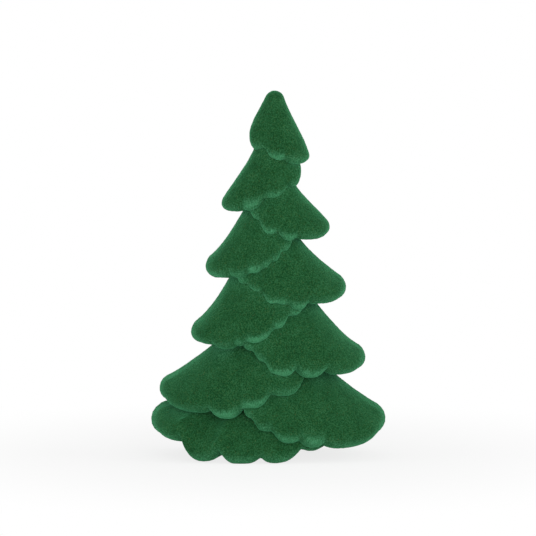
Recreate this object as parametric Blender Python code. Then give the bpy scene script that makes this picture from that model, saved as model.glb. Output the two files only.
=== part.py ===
"""Flocked table tree: ten moulded hoods that nest like cups on a wooden dowel, with a weighted base.

Metres, +Z up, the front of the tree faces -Y. The origin is on the table, at the middle of the
tree's footprint box.
"""
import math
from collections import namedtuple

import bmesh
import bpy
import numpy as np

# Running clearance between neighbouring pieces
GAP = 0.0003

# Sizes shared by the hoods
LIP_ROUND = 0.0034
LOBE_BULGE = 0.0011
CAP_RISE = 0.0040

# Tip hood
TIP_CROWN = 0.2400
TIP_DOME = 0.0064
TIP_LEAN = 0.0015
TIP_PAW = 0.0227
TIP_HEEL = 0.0163
TIP_DEPTH = 0.0155
TIP_LIP = 0.1935
TIP_ROUND = 0.0042
TIP_HEEL_ROUND = 0.0081

# Bough 2, paw to the left
TWO_CROWN = 0.2225
TWO_PAW = 0.0330
TWO_HEEL = 0.0188
TWO_DEPTH = 0.0190
TWO_LIP = 0.1616
TWO_ROUND = 0.0049
TWO_HEEL_ROUND = 0.0080

# Bough 3, paw to the right
THREE_CROWN = 0.2014
THREE_PAW = 0.0375
THREE_HEEL = 0.0216
THREE_DEPTH = 0.0225
THREE_LIP = 0.1448
THREE_ROUND = 0.0061

# Bough 4, paw to the left
FOUR_CROWN = 0.1816
FOUR_PAW = 0.0435
FOUR_HEEL = 0.0210
FOUR_DEPTH = 0.0255
FOUR_LIP = 0.1178
FOUR_ROUND = 0.0072

# Bough 5, paw to the right
FIVE_CROWN = 0.1652
FIVE_PAW = 0.0482
FIVE_HEEL = 0.0304
FIVE_DEPTH = 0.0285
FIVE_LIP = 0.1033
FIVE_ROUND = 0.0082

# Bough 6, paw to the left
SIX_CROWN = 0.1518
SIX_PAW = 0.0531
SIX_HEEL = 0.0327
SIX_DEPTH = 0.0315
SIX_LIP = 0.0750
SIX_ROUND = 0.0070

# Bough 7, paw to the right
SEVEN_CROWN = 0.1250
SEVEN_PAW = 0.0609
SEVEN_HEEL = 0.0419
SEVEN_DEPTH = 0.0345
SEVEN_LIP = 0.0572
SEVEN_ROUND = 0.0081

# Bough 8, paw to the left
EIGHT_CROWN = 0.0994
EIGHT_PAW = 0.0738
EIGHT_HEEL = 0.0409
EIGHT_DEPTH = 0.0375
EIGHT_LIP = 0.0368
EIGHT_ROUND = 0.0081

# Bough 9, paw to the right
NINE_CROWN = 0.0796
NINE_PAW = 0.0741
NINE_HEEL = 0.0570
NINE_DEPTH = 0.0400
NINE_LIP = 0.0144
NINE_ROUND = 0.0105

# Base hood, paw to the left, flat where its lobes stand on the table
BASE_CROWN = 0.0566
BASE_PAW = 0.0793
BASE_HEEL = 0.0524
BASE_DEPTH = 0.0425
BASE_LIP = 0.0144
BASE_ROUND = 0.0100
BASE_UNDERSIDE = 0.0080

# Dowel, and how deep it enters the tip
DOWEL_RADIUS = 0.0030
DOWEL_TOP = 0.2200
DOWEL_CHAMFER = 0.0006

# Felt cover, base plate, ballast and the screw between them
FOOT_LENGTH = 0.0600
FOOT_WIDTH = 0.0300
FOOT_OFFSET = 0.0140
FELT_THICKNESS = 0.0010
PLATE_THICKNESS = 0.0040
BALLAST_LENGTH = 0.0520
BALLAST_WIDTH = 0.0250
BALLAST_THICKNESS = 0.0060
SCREW_HEAD_RADIUS = 0.0032
SCREW_HEAD_DEPTH = 0.0020
SCREW_SHANK_RADIUS = 0.0014
SCREW_LENGTH = 0.0160
SLOT_WIDTH = 0.0008
SLOT_DEPTH = 0.0008
OVERRUN = 0.0020

# Counts and unit shares
OVAL_POWER_SHARE = 2.5
LOBE_POWER_SHARE = 2.6
FACE_STEPS = 5
LIP_STEPS = 5
DOME_STEPS = 3
OVAL_STEPS = 40
ROUND_STEPS = 20
WIDE_LOBE_SHARE = 0.12
END_COLUMN_SHARES = (0.93, 0.985)
CROWN_RADIUS_SHARE = 0.26
HEEL_HIGH_SHARE = 0.0
HEEL_LOW_SHARE = 0.06
FRONT_HIGH_SHARE = 0.087
FRONT_LOW_SHARE = 0.087
TIP_HIGH_SHARE = -0.03
TIP_LOW_SHARE = 0.04
TWO_HIGH_SHARE = -0.13
TWO_LOW_SHARE = -0.02
THREE_HIGH_SHARE = -0.19
THREE_LOW_SHARE = -0.04
FOUR_HIGH_SHARE = 0.0
FOUR_LOW_SHARE = -0.07
FIVE_HIGH_SHARE = -0.17
FIVE_LOW_SHARE = -0.07
SIX_HIGH_SHARE = 0.01
SIX_LOW_SHARE = -0.09
SEVEN_HIGH_SHARE = 0.01
SEVEN_LOW_SHARE = -0.08
EIGHT_HIGH_SHARE = -0.03
EIGHT_LOW_SHARE = -0.05
NINE_HIGH_SHARE = -0.01
NINE_LOW_SHARE = -0.04
BASE_HIGH_SHARE = -0.02
BASE_LOW_SHARE = -0.065
LIP_DEPTH_SHARE = 1.15
HEEL_TUCK_SHARE = 0.17
HEEL_TUCK_SPAN_SHARE = 0.55
BASE_FRONT_FLAT_SHARE = 0.50
BASE_PAW_FLAT_SHARE = 0.62
BASE_HEEL_FLAT_SHARE = 0.38
DOME_TURN = math.radians(65)
LIP_TURN = math.radians(15)

# Lip outlines from heel (-1) to paw (+1): notch, lobe bottom, notch, lobe bottom and so on.
# Each point is a share of the reach, and a share of the height from the paw's lip to the crown.
TIP_LIP_SHARES = ((-1, 0.20), (-0.66, 0.18), (-0.38, 0.17), (0.07, 0.04), (0.32, 0.06), (0.66, -0.01),
                  (1, 0))
TWO_LIP_SHARES = ((-1, 0.30), (-0.78, 0.27), (-0.57, 0.25), (-0.04, 0.15), (0.18, 0.13), (0.44, 0.02),
                  (0.59, 0.03), (0.82, 0.01), (1, 0))
THREE_LIP_SHARES = ((-1, 0.37), (-0.85, 0.37), (-0.70, 0.33), (-0.45, 0.22), (-0.41, 0.21), (-0.06, 0.04),
                    (0.10, 0.06), (0.31, -0.02), (0.44, 0.02), (0.68, -0.01), (1, 0))
FOUR_LIP_SHARES = ((-1, 0.47), (-0.84, 0.46), (-0.62, 0.39), (-0.41, 0.30), (-0.27, 0.28), (-0.08, 0.20),
                   (0.02, 0.19), (0.10, 0.13), (0.15, 0.11), (0.27, 0.08), (0.38, 0.08), (0.55, 0.03),
                   (0.65, 0.05), (0.83, 0.02), (1, 0))
FIVE_LIP_SHARES = ((-1, 0.31), (-0.88, 0.30), (-0.77, 0.26), (-0.61, 0.19), (-0.54, 0.17), (-0.34, 0.10),
                   (-0.22, 0.08), (0.07, -0.03), (0.22, -0.02), (0.36, -0.07), (0.50, 0), (0.70, -0.01),
                   (1, 0))
SIX_LIP_SHARES = ((-1, 0.44), (-0.80, 0.42), (-0.66, 0.37), (-0.44, 0.26), (-0.32, 0.26), (-0.12, 0.16),
                  (0.01, 0.13), (0.19, 0.03), (0.33, 0.04), (0.41, 0.01), (0.46, 0.02), (0.60, -0.02),
                  (0.75, 0.01), (0.83, 0.01), (1, 0))
SEVEN_LIP_SHARES = ((-1, 0.31), (-0.73, 0.32), (-0.48, 0.29), (-0.36, 0.23), (-0.28, 0.20), (-0.16, 0.13),
                    (-0.09, 0.09), (0.10, -0.02), (0.27, 0.06), (0.42, -0.03), (0.60, 0.05), (0.77, -0.01),
                    (1, 0))
EIGHT_LIP_SHARES = ((-1, 0.38), (-0.74, 0.34), (-0.51, 0.27), (-0.22, 0.11), (0.02, 0.13), (0.18, -0.02),
                    (0.29, -0.04), (0.42, -0.13), (0.57, -0.04), (0.70, -0.07), (1, 0))
NINE_LIP_SHARES = ((-1, 0.44), (-0.72, 0.41), (-0.34, 0.32), (-0.26, 0.23), (-0.21, 0.18), (-0.08, 0.10),
                   (0, 0.10), (0.15, -0.02), (0.25, 0.01), (0.37, -0.07), (0.48, -0.03), (0.63, -0.09),
                   (1, 0))
BASE_LIP_SHARES = ((-1, 0), (-0.85, -0.05), (-0.66, -0.07), (-0.51, -0.17), (-0.375, -0.12), (-0.05, -0.365),
                   (0.095, -0.26), (0.26, -0.385), (0.435, -0.19), (0.60, -0.34), (0.75, -0.01),
                   (0.83, -0.035), (1, 0))
BASE_REAR_LIP_SHARES = ((-1, 0), (-0.85, -0.06), (-0.72, -0.24), (-0.50, -0.40), (-0.33, -0.28),
                        (-0.05, -0.40), (0.12, -0.28), (0.28, -0.40), (0.43, -0.24), (0.58, -0.38),
                        (0.75, -0.02), (0.84, -0.03), (1, 0))

LEFT = -1
RIGHT = 1
AXIS_X = (BASE_PAW - NINE_PAW) / 2

Hood = namedtuple("Hood", "name side crown paw heel depth lip paw_round heel_round high low front rear")
HOODS = (
    Hood("tip_hood", RIGHT, TIP_CROWN, TIP_PAW, TIP_HEEL, TIP_DEPTH, TIP_LIP, TIP_ROUND,
         TIP_HEEL_ROUND, TIP_HIGH_SHARE, TIP_LOW_SHARE, TIP_LIP_SHARES, TIP_LIP_SHARES),
    Hood("bough_2_left", LEFT, TWO_CROWN, TWO_PAW, TWO_HEEL, TWO_DEPTH, TWO_LIP, TWO_ROUND,
         TWO_HEEL_ROUND, TWO_HIGH_SHARE, TWO_LOW_SHARE, TWO_LIP_SHARES, TWO_LIP_SHARES),
    Hood("bough_3_right", RIGHT, THREE_CROWN, THREE_PAW, THREE_HEEL, THREE_DEPTH, THREE_LIP, THREE_ROUND,
         LIP_ROUND, THREE_HIGH_SHARE, THREE_LOW_SHARE, THREE_LIP_SHARES, THREE_LIP_SHARES),
    Hood("bough_4_left", LEFT, FOUR_CROWN, FOUR_PAW, FOUR_HEEL, FOUR_DEPTH, FOUR_LIP, FOUR_ROUND,
         LIP_ROUND, FOUR_HIGH_SHARE, FOUR_LOW_SHARE, FOUR_LIP_SHARES, FOUR_LIP_SHARES),
    Hood("bough_5_right", RIGHT, FIVE_CROWN, FIVE_PAW, FIVE_HEEL, FIVE_DEPTH, FIVE_LIP, FIVE_ROUND,
         LIP_ROUND, FIVE_HIGH_SHARE, FIVE_LOW_SHARE, FIVE_LIP_SHARES, FIVE_LIP_SHARES),
    Hood("bough_6_left", LEFT, SIX_CROWN, SIX_PAW, SIX_HEEL, SIX_DEPTH, SIX_LIP, SIX_ROUND,
         LIP_ROUND, SIX_HIGH_SHARE, SIX_LOW_SHARE, SIX_LIP_SHARES, SIX_LIP_SHARES),
    Hood("bough_7_right", RIGHT, SEVEN_CROWN, SEVEN_PAW, SEVEN_HEEL, SEVEN_DEPTH, SEVEN_LIP, SEVEN_ROUND,
         LIP_ROUND, SEVEN_HIGH_SHARE, SEVEN_LOW_SHARE, SEVEN_LIP_SHARES, SEVEN_LIP_SHARES),
    Hood("bough_8_left", LEFT, EIGHT_CROWN, EIGHT_PAW, EIGHT_HEEL, EIGHT_DEPTH, EIGHT_LIP, EIGHT_ROUND,
         LIP_ROUND, EIGHT_HIGH_SHARE, EIGHT_LOW_SHARE, EIGHT_LIP_SHARES, EIGHT_LIP_SHARES),
    Hood("bough_9_right", RIGHT, NINE_CROWN, NINE_PAW, NINE_HEEL, NINE_DEPTH, NINE_LIP, NINE_ROUND,
         LIP_ROUND, NINE_HIGH_SHARE, NINE_LOW_SHARE, NINE_LIP_SHARES, NINE_LIP_SHARES),
    Hood("base_hood", LEFT, BASE_CROWN, BASE_PAW, BASE_HEEL, BASE_DEPTH, BASE_LIP, BASE_ROUND,
         LIP_ROUND, BASE_HIGH_SHARE, BASE_LOW_SHARE, BASE_LIP_SHARES, BASE_REAR_LIP_SHARES),
)


# Scene and materials

def clear_scene():
    for old in list(bpy.data.objects):
        bpy.data.objects.remove(old, do_unlink=True)


def material(name, colour, roughness, metallic=0.0):
    made = bpy.data.materials.new(name)
    made.use_nodes = True
    shader = made.node_tree.nodes["Principled BSDF"]
    shader.inputs["Base Color"].default_value = (*colour, 1.0)
    shader.inputs["Roughness"].default_value = roughness
    shader.inputs["Metallic"].default_value = metallic
    return made


def add_object(name, mesh, surface=None):
    made = bpy.data.objects.new(name, mesh)
    bpy.context.scene.collection.objects.link(made)
    if surface:
        mesh.materials.append(surface)
    return made


def make_cutter(cutter):
    cutter.hide_render = True
    cutter.display_type = "WIRE"
    return cutter


def cut(target, cutter):
    step = target.modifiers.new(cutter.name, "BOOLEAN")
    step.operation = "DIFFERENCE"
    step.solver = "EXACT"
    step.object = cutter


# Turned and oval pieces

def stack_mesh(name, rings, low=None, high=None):
    """A closed mesh of rings from bottom to top, ending at a point or, without one, in a flat face."""
    shape = bmesh.new()
    rows = [[shape.verts.new(point) for point in ring] for ring in rings]
    bottom = shape.verts.new(low) if low else None
    top = shape.verts.new(high) if high else None
    if not low:
        shape.faces.new(rows[0][::-1])
    if not high:
        shape.faces.new(rows[-1])
    count = len(rows[0])
    for i in range(count):
        j = (i + 1) % count
        if bottom:
            shape.faces.new((bottom, rows[0][j], rows[0][i]))
        if top:
            shape.faces.new((top, rows[-1][i], rows[-1][j]))
        for lower, upper in zip(rows, rows[1:]):
            shape.faces.new((lower[i], lower[j], upper[j]))
            shape.faces.new((lower[i], upper[j], upper[i]))
    mesh = bpy.data.meshes.new(name)
    shape.to_mesh(mesh)
    shape.free()
    return mesh


def turned(name, profile):
    """A round piece on the dowel's axis, from a list of radius and height."""
    rings = []
    for radius, height in profile:
        turns = (math.tau * i / ROUND_STEPS for i in range(ROUND_STEPS))
        rings.append([(AXIS_X + radius * math.cos(a), radius * math.sin(a), height) for a in turns])
    mesh = stack_mesh(name, rings)
    mesh.shade_smooth()
    mesh.set_sharp_from_angle(angle=math.radians(30))
    return mesh


def oval_slab(name, length, width, bottom, top):
    """A flat oval board under the hoods, a little to the left of the dowel."""
    middle = AXIS_X - FOOT_OFFSET
    turns = [math.tau * i / OVAL_STEPS for i in range(OVAL_STEPS)]
    outline = [(middle + length / 2 * math.cos(a), width / 2 * math.sin(a)) for a in turns]
    rings = [[(x, y, height) for x, y in outline] for height in (bottom, top)]
    return stack_mesh(name, rings)


# Hoods

def lip_columns(lip_shares):
    """Shares of the reach at which a hood's mesh has a column, heel to paw."""
    columns = [-END_COLUMN_SHARES[1], -END_COLUMN_SHARES[0]]
    places = [share for share, _ in lip_shares]
    for near, far in zip(places, places[1:]):
        columns.append(near)
        if far - near > WIDE_LOBE_SHARE:
            columns.append((near + far) / 2)
    columns += [places[-1], END_COLUMN_SHARES[0], END_COLUMN_SHARES[1]]
    return np.array(sorted(set(columns)))


def lip_curve(lip_shares, places):
    """Height share of the scalloped lip, and how far into its lobe each place lies (0 to 1)."""
    heights = np.zeros(len(places))
    inside = np.zeros(len(places))
    for bottom in range(1, len(lip_shares), 2):
        middle, low = lip_shares[bottom]
        for end in (bottom - 1, bottom + 1):
            edge, high = lip_shares[end]
            here = (places >= min(middle, edge)) & (places <= max(middle, edge))
            away = np.abs((places - middle) / (edge - middle)) ** LOBE_POWER_SHARE
            heights = np.where(here, low + (high - low) * away, heights)
            inside = np.where(here, 1 - away, inside)
    return heights, inside


def bezier(start, high, low, end, t):
    return (1 - t) ** 3 * start + 3 * t * (1 - t) ** 2 * high + 3 * t ** 2 * (1 - t) * low + t ** 3 * end


def hood_profile(hood, lip_shares, places, is_tip, is_base):
    """Distance from the hood's axis and height of every row, crown to lip, at each place."""
    reach = np.where(places > 0, hood.paw, hood.heel)
    across = np.abs(places)
    out_x = places * reach * hood.side
    tuck = np.clip(-places / HEEL_TUCK_SPAN_SHARE, 0, 1)
    depth = hood.depth * (1 - HEEL_TUCK_SHARE * tuck ** 2 * (3 - 2 * tuck))
    out_y = depth * np.maximum(1 - across ** OVAL_POWER_SHARE, 0) ** (1 / OVAL_POWER_SHARE)
    radius = np.hypot(out_x, out_y)
    heights, inside = lip_curve(lip_shares, places)
    lip = hood.lip + (hood.crown - hood.lip) * heights
    toward_end = across ** 2
    end_round = np.where(places > 0, hood.paw_round, hood.heel_round)
    round_up = LIP_ROUND + (end_round - LIP_ROUND) * toward_end
    round_in = LIP_ROUND + (hood.paw_round * LIP_DEPTH_SHARE - LIP_ROUND) * np.clip(places, 0, 1) ** 2
    end_high = np.where(places > 0, hood.high, HEEL_HIGH_SHARE)
    end_low = np.where(places > 0, hood.low, HEEL_LOW_SHARE)
    high = FRONT_HIGH_SHARE + (end_high - FRONT_HIGH_SHARE) * toward_end
    low = FRONT_LOW_SHARE + (end_low - FRONT_LOW_SHARE) * toward_end
    rows = []
    if is_tip:
        for step in range(1, DOME_STEPS + 1):
            turn = DOME_TURN * step / DOME_STEPS
            dome = TIP_DOME * math.sin(turn)
            rows.append((dome + 0 * radius, hood.crown - TIP_DOME * (1 - math.cos(turn)) + 0 * radius))
    else:
        rows.append((hood.depth * CROWN_RADIUS_SHARE + 0 * radius, hood.crown + 0 * radius))
    start_out, start_up = rows[-1]
    centre_out = radius - round_in
    centre_up = lip + round_up
    chord = np.arctan2(start_up - centre_up, centre_out + round_in - start_out)
    slope = chord + np.arctan(3 * low)
    turn_start = np.arctan2(round_up * np.cos(slope), round_in * np.sin(slope))
    end_out = centre_out + round_in * np.cos(turn_start)
    end_up = centre_up + round_up * np.sin(turn_start)
    run_out = end_out - start_out
    run_up = end_up - start_up
    high_out = start_out + run_out / 3 - high * run_up
    high_up = start_up + run_up / 3 + high * run_out
    low_out = start_out + run_out * 2 / 3 - low * run_up
    low_up = start_up + run_up * 2 / 3 + low * run_out
    for step in range(1, FACE_STEPS + 1):
        t = step / FACE_STEPS
        out = bezier(start_out, high_out, low_out, end_out, t) + LOBE_BULGE * inside * t ** 4
        rows.append((out, bezier(start_up, high_up, low_up, end_up, t)))
    turn_end = -math.pi / 2 - LIP_TURN
    for step in range(1, LIP_STEPS + 1):
        turn = turn_start + (turn_end - turn_start) * step / LIP_STEPS
        out = centre_out + round_in * np.cos(turn) + LOBE_BULGE * inside
        rows.append((out, centre_up + round_up * np.sin(turn)))
    if is_base:
        rows = [(out, np.maximum(up, 0)) for out, up in rows]
        flat = np.where(places > 0, BASE_PAW_FLAT_SHARE, BASE_HEEL_FLAT_SHARE)
        flat = BASE_FRONT_FLAT_SHARE + (flat - BASE_FRONT_FLAT_SHARE) * across
        rows.append((radius * flat, BASE_UNDERSIDE + 0 * radius))
    return out_x / radius, out_y / radius, rows, lip.max()


def hood_mesh(hood, name, swell=0.0):
    """The whole solid of one hood, before the hoods below it are cut out. Swell makes a cutter."""
    is_tip = hood is HOODS[0]
    is_base = hood is HOODS[-1]
    middle = AXIS_X + (TIP_LEAN if is_tip else 0)
    halves = []
    for lip_shares, facing in ((hood.front, -1), (hood.rear, 1)):
        places = lip_columns(lip_shares)
        ray_x, ray_y, rows, lip_top = hood_profile(hood, lip_shares, places, is_tip, is_base)
        halves.append([[(middle + x * r, facing * y * r, z) for x, y, r, z in zip(ray_x, ray_y, out, up)]
                       for out, up in reversed(rows)])
    rings = []
    for front, rear in zip(*halves):
        ring = front + rear[-2:0:-1]
        rings.append(ring if hood.side == RIGHT else ring[::-1])
    low = None if is_base else (middle, 0, lip_top + CAP_RISE)
    high = (middle, 0, hood.crown) if is_tip else None
    mesh = stack_mesh(name, rings, low, high)
    if swell:
        shape = bmesh.new()
        shape.from_mesh(mesh)
        shape.normal_update()
        for vertex in shape.verts:
            vertex.co += vertex.normal * swell
        shape.to_mesh(mesh)
        shape.free()
    mesh.shade_smooth()
    return mesh


def build_hoods(flock):
    """Each hood is cut by every hood below it that reaches up into it."""
    cutters = [make_cutter(add_object(h.name + "_socket_cutter", hood_mesh(h, h.name + "_socket", GAP)))
               for h in HOODS[1:]]
    made = []
    for place, hood in enumerate(HOODS):
        piece = add_object(hood.name, hood_mesh(hood, hood.name), flock)
        for lower, cutter in zip(HOODS[place + 1:], cutters[place:]):
            if lower.crown > hood.lip - LIP_ROUND:
                cut(piece, cutter)
        made.append(piece)
    return made


# Dowel and weighted foot

FELT_TOP = BASE_UNDERSIDE + FELT_THICKNESS
PLATE_BOTTOM = FELT_TOP + GAP
PLATE_TOP = PLATE_BOTTOM + PLATE_THICKNESS
BALLAST_BOTTOM = PLATE_TOP + GAP
BALLAST_TOP = BALLAST_BOTTOM + BALLAST_THICKNESS
SCREW_TOP = PLATE_BOTTOM + SCREW_LENGTH


def build_dowel(wood):
    foot = PLATE_TOP + GAP
    edge = DOWEL_RADIUS - DOWEL_CHAMFER
    dowel = add_object("centre_dowel", turned("centre_dowel", [
        (edge, foot), (DOWEL_RADIUS, foot + DOWEL_CHAMFER),
        (DOWEL_RADIUS, DOWEL_TOP - DOWEL_CHAMFER), (edge, DOWEL_TOP)]), wood)
    bore = SCREW_SHANK_RADIUS + GAP
    pilot = add_object("pilot_cutter", turned("pilot_cutter", [
        (bore, foot - OVERRUN), (bore, SCREW_TOP + GAP)]))
    cut(dowel, make_cutter(pilot))


def dowel_cutter():
    bore = DOWEL_RADIUS + GAP
    profile = [(bore, -OVERRUN), (bore, DOWEL_TOP + GAP)]
    return make_cutter(add_object("dowel_cutter", turned("dowel_cutter", profile)))


def build_felt(felt):
    sheet = oval_slab("felt_cover", FOOT_LENGTH, FOOT_WIDTH, BASE_UNDERSIDE, FELT_TOP)
    add_object("felt_cover", sheet, felt)


def build_plate(board):
    slab = oval_slab("base_plate", FOOT_LENGTH, FOOT_WIDTH, PLATE_BOTTOM, PLATE_TOP)
    plate = add_object("base_plate", slab, board)
    head = SCREW_HEAD_RADIUS + GAP
    shank = SCREW_SHANK_RADIUS + GAP
    sink = PLATE_BOTTOM + SCREW_HEAD_DEPTH
    hole = add_object("screw_cutter", turned("screw_cutter", [
        (head, PLATE_BOTTOM - OVERRUN), (head, PLATE_BOTTOM),
        (shank, sink + GAP), (shank, PLATE_TOP + OVERRUN)]))
    cut(plate, make_cutter(hole))


def build_ballast(steel):
    weight = oval_slab("ballast_weight", BALLAST_LENGTH, BALLAST_WIDTH, BALLAST_BOTTOM, BALLAST_TOP)
    return add_object("ballast_weight", weight, steel)


def build_screw(steel):
    low = PLATE_BOTTOM
    screw = add_object("dowel_screw", turned("dowel_screw", [
        (SCREW_HEAD_RADIUS, low), (SCREW_SHANK_RADIUS, low + SCREW_HEAD_DEPTH),
        (SCREW_SHANK_RADIUS, SCREW_TOP - SCREW_SHANK_RADIUS), (SCREW_SHANK_RADIUS / 2, SCREW_TOP)]), steel)
    shape = bmesh.new()
    bmesh.ops.create_cube(shape, size=1)
    for corner in shape.verts:
        corner.co.x = AXIS_X + corner.co.x * 2 * (SCREW_HEAD_RADIUS + OVERRUN)
        corner.co.y *= SLOT_WIDTH
        corner.co.z = low + corner.co.z * 2 * SLOT_DEPTH
    slot = bpy.data.meshes.new("slot_cutter")
    shape.to_mesh(slot)
    shape.free()
    cut(screw, make_cutter(add_object("slot_cutter", slot)))


def foot_cutters():
    """The pocket for the plate and the one for the ballast, in the base hood."""
    length = FOOT_LENGTH + 2 * GAP
    width = FOOT_WIDTH + 2 * GAP
    below = BASE_UNDERSIDE - OVERRUN
    pocket = oval_slab("plate_cutter", length, width, below, PLATE_TOP + GAP)
    length = BALLAST_LENGTH + 2 * GAP
    width = BALLAST_WIDTH + 2 * GAP
    seat = oval_slab("ballast_cutter", length, width, PLATE_BOTTOM, BALLAST_TOP + GAP)
    return [make_cutter(add_object(mesh.name, mesh)) for mesh in (pocket, seat)]


def build():
    clear_scene()
    flock = material("green_flock", (0.018, 0.084, 0.027), 0.95)
    wood = material("pale_wood", (0.62, 0.46, 0.28), 0.7)
    board = material("fibre_board", (0.36, 0.24, 0.14), 0.8)
    steel = material("zinc_steel", (0.60, 0.60, 0.58), 0.4, 1.0)
    felt = material("green_felt", (0.020, 0.070, 0.030), 0.98)
    hoods = build_hoods(flock)
    bore = dowel_cutter()
    for hood in hoods:
        cut(hood, bore)
    for pocket in foot_cutters():
        cut(hoods[-1], pocket)
    build_dowel(wood)
    build_plate(board)
    cut(build_ballast(steel), bore)
    build_screw(steel)
    build_felt(felt)


build()
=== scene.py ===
"""Dresses the flocked table tree: fine flocked hoods over the solids, and finishes for the hidden foot."""
import math
from collections import namedtuple

import bmesh
import bpy
import numpy as np
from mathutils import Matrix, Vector


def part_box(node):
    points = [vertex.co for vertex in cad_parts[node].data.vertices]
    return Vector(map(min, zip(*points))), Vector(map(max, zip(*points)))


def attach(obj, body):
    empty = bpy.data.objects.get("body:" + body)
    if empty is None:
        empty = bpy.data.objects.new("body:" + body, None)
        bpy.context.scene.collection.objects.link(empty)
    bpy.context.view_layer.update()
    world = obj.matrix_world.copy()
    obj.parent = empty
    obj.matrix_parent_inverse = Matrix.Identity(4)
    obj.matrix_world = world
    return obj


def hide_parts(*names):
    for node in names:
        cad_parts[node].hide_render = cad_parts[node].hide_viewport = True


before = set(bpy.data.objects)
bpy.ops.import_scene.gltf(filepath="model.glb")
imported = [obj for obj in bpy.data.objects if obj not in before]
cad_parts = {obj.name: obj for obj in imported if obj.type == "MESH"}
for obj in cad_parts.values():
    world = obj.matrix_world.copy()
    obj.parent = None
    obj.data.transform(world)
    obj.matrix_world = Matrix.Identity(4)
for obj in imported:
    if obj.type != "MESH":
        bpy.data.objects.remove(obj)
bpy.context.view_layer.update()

LEFT, RIGHT = -1, 1

# Room round the pieces, in metres
GAP = 0.0003
CUTTER_OVERRUN = 0.0020
TABLE_CLEARANCE = 0.001

# The flock's coat and the felt, in metres
PILE = 0.00012
DENT_HEIGHT = 0.00030
DENT_SIZE = 0.016
CLUMP_HEIGHT = 0.00028
CLUMP_SIZE = 0.0016
PILE_SEED = 7
FELT_EDGE = 0.0004
FELT_MATTING = 0.00012

# How finely the meshes are divided
SKIN_SPACING = 0.00072
SEAT_SPACING = 0.0018
OUTLINE_SAMPLES = 4001
END_CROWDING = 0.8
FEWEST_PLACES = 24
LIP_SAMPLES = 401
DOME_ROWS = 8
LIP_ROWS = 10
CAP_ROWS = 13
BASE_UNDER_ROWS = 8
OVAL_STEPS = 96
FELT_RINGS = 42
FELT_EDGE_RINGS = 7
FELT_RING_SHARES = (0.02, 0.97)

# Plan and profile of the hoods: shares unless they are in metres
OVAL_POWER = 2.75
HEEL_TUCK = 0.17
HEEL_TUCK_SPAN = 0.55
CROWN_RADIUS_SHARE = 0.26
FRONT_BELLY = 0.087
HEEL_BELLIES = (0, 0.06)
LIP_ROUND = 0.0034
LIP_DEPTH_SHARE = 1.15
LIP_TURN = math.radians(15)
FACE_LENGTH_SHARE = 1.25
CAP_RISE = 0.0040
TIP_LEAN = 0.0015
TIP_DOME = 0.0064
DOME_TURN = math.radians(65)
BASE_UNDERSIDE = 0.0080
BASE_FLAT_SHARES = (0.50, 0.62, 0.38)
FLOOR_SOFTNESS = 0.0004

# Lobes of the lips, and the notches that part the lip round each end
LOBE_POWER = 2.6
LOBE_BULGE = 0.0017
BASE_BULGE_SHARE = 0.6
LOBE_FADE = 5
LOBE_SPAN = 0.0070
NOTCH_SOFTNESS = 0.0013
NOTCH_FADE = 10
END_NOTCH_PLACE = 0.38
END_NOTCH_RISE = 0.044
END_NOTCH_DENT = 0.009
END_NOTCH_START = 0.78
END_NOTCH_RUN = 0.12

# Marks that the flock's colour reads: a painted highlight along the lips, and painted light under the lip
# above, which lifts the shadow there
PLAIN_LOBE = 0.4
GLOW_POWER = 1.2
MARK_HEIGHT = 0.0028
MARK_MIDDLE = 0.0020
MARK_POWER = 2.0
UNDER_LIP_REACH = 0.0036
UNDER_LIP_FADE = 0.004
UNDER_LIP_STRENGTHS = {"bough_2_left": 0.3, "base_hood": 0.1}
UNDER_LIP_HEEL_SHARE = 0.12
UNDER_LIP_PAW_START = 0.30
UNDER_LIP_PAW_RUN = 0.35
HOODS_OVER = 2

# Lip outlines from heel (-1) to paw (+1): notch, lobe, notch and so on, as shares of reach and height.
# A lobe may also say how strong its painted highlight patch is, and how tall.
TIP_LOBES = (
    (-1, 0.20), (-0.66, 0.18, 0.5), (-0.38, 0.17), (0.07, 0.04, 1.0), (0.32, 0.06), (0.66, -0.01, 0.5),
    (1, 0))
TWO_LOBES = (
    (-1, 0.30), (-0.78, 0.27), (-0.57, 0.25), (-0.04, 0.15, 0.7), (0.18, 0.13), (0.44, 0.02, 0.85, 1.5),
    (0.59, 0.03), (0.82, 0.01, 0.3), (1, 0))
THREE_LOBES = (
    (-1, 0.37), (-0.85, 0.37), (-0.70, 0.33), (-0.45, 0.22, 0.5), (-0.41, 0.21), (-0.06, 0.04, 1.0),
    (0.10, 0.06), (0.31, -0.02, 0.9), (0.44, 0.02), (0.68, -0.01, 0.3), (1, 0))
FOUR_LOBES = (
    (-1, 0.47), (-0.84, 0.46), (-0.62, 0.39), (-0.41, 0.30, 0.5), (-0.27, 0.28), (-0.08, 0.20, 0.6),
    (0.02, 0.19), (0.10, 0.13, 0.7), (0.15, 0.11), (0.27, 0.08, 1.3), (0.38, 0.08), (0.55, 0.03, 0.6),
    (0.65, 0.05), (0.83, 0.02, 0.6), (1, 0))
FIVE_LOBES = (
    (-1, 0.31), (-0.88, 0.30), (-0.77, 0.26), (-0.61, 0.19, 0.5), (-0.54, 0.17), (-0.34, 0.10, 0.6),
    (-0.22, 0.08), (0.07, -0.03, 1.0), (0.22, -0.02), (0.36, -0.07, 0.9), (0.50, 0), (0.70, -0.01, 0.2),
    (1, 0))
SIX_LOBES = (
    (-1, 0.44), (-0.80, 0.42), (-0.66, 0.37), (-0.44, 0.26, 0.6), (-0.32, 0.26), (-0.12, 0.16, 0.8),
    (0.01, 0.13), (0.19, 0.03, 1.5), (0.33, 0.04), (0.41, 0.01, 0.6), (0.46, 0.02), (0.60, -0.02, 0.3),
    (0.75, 0.01), (0.83, 0.01, 0.2), (1, 0))
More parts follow.
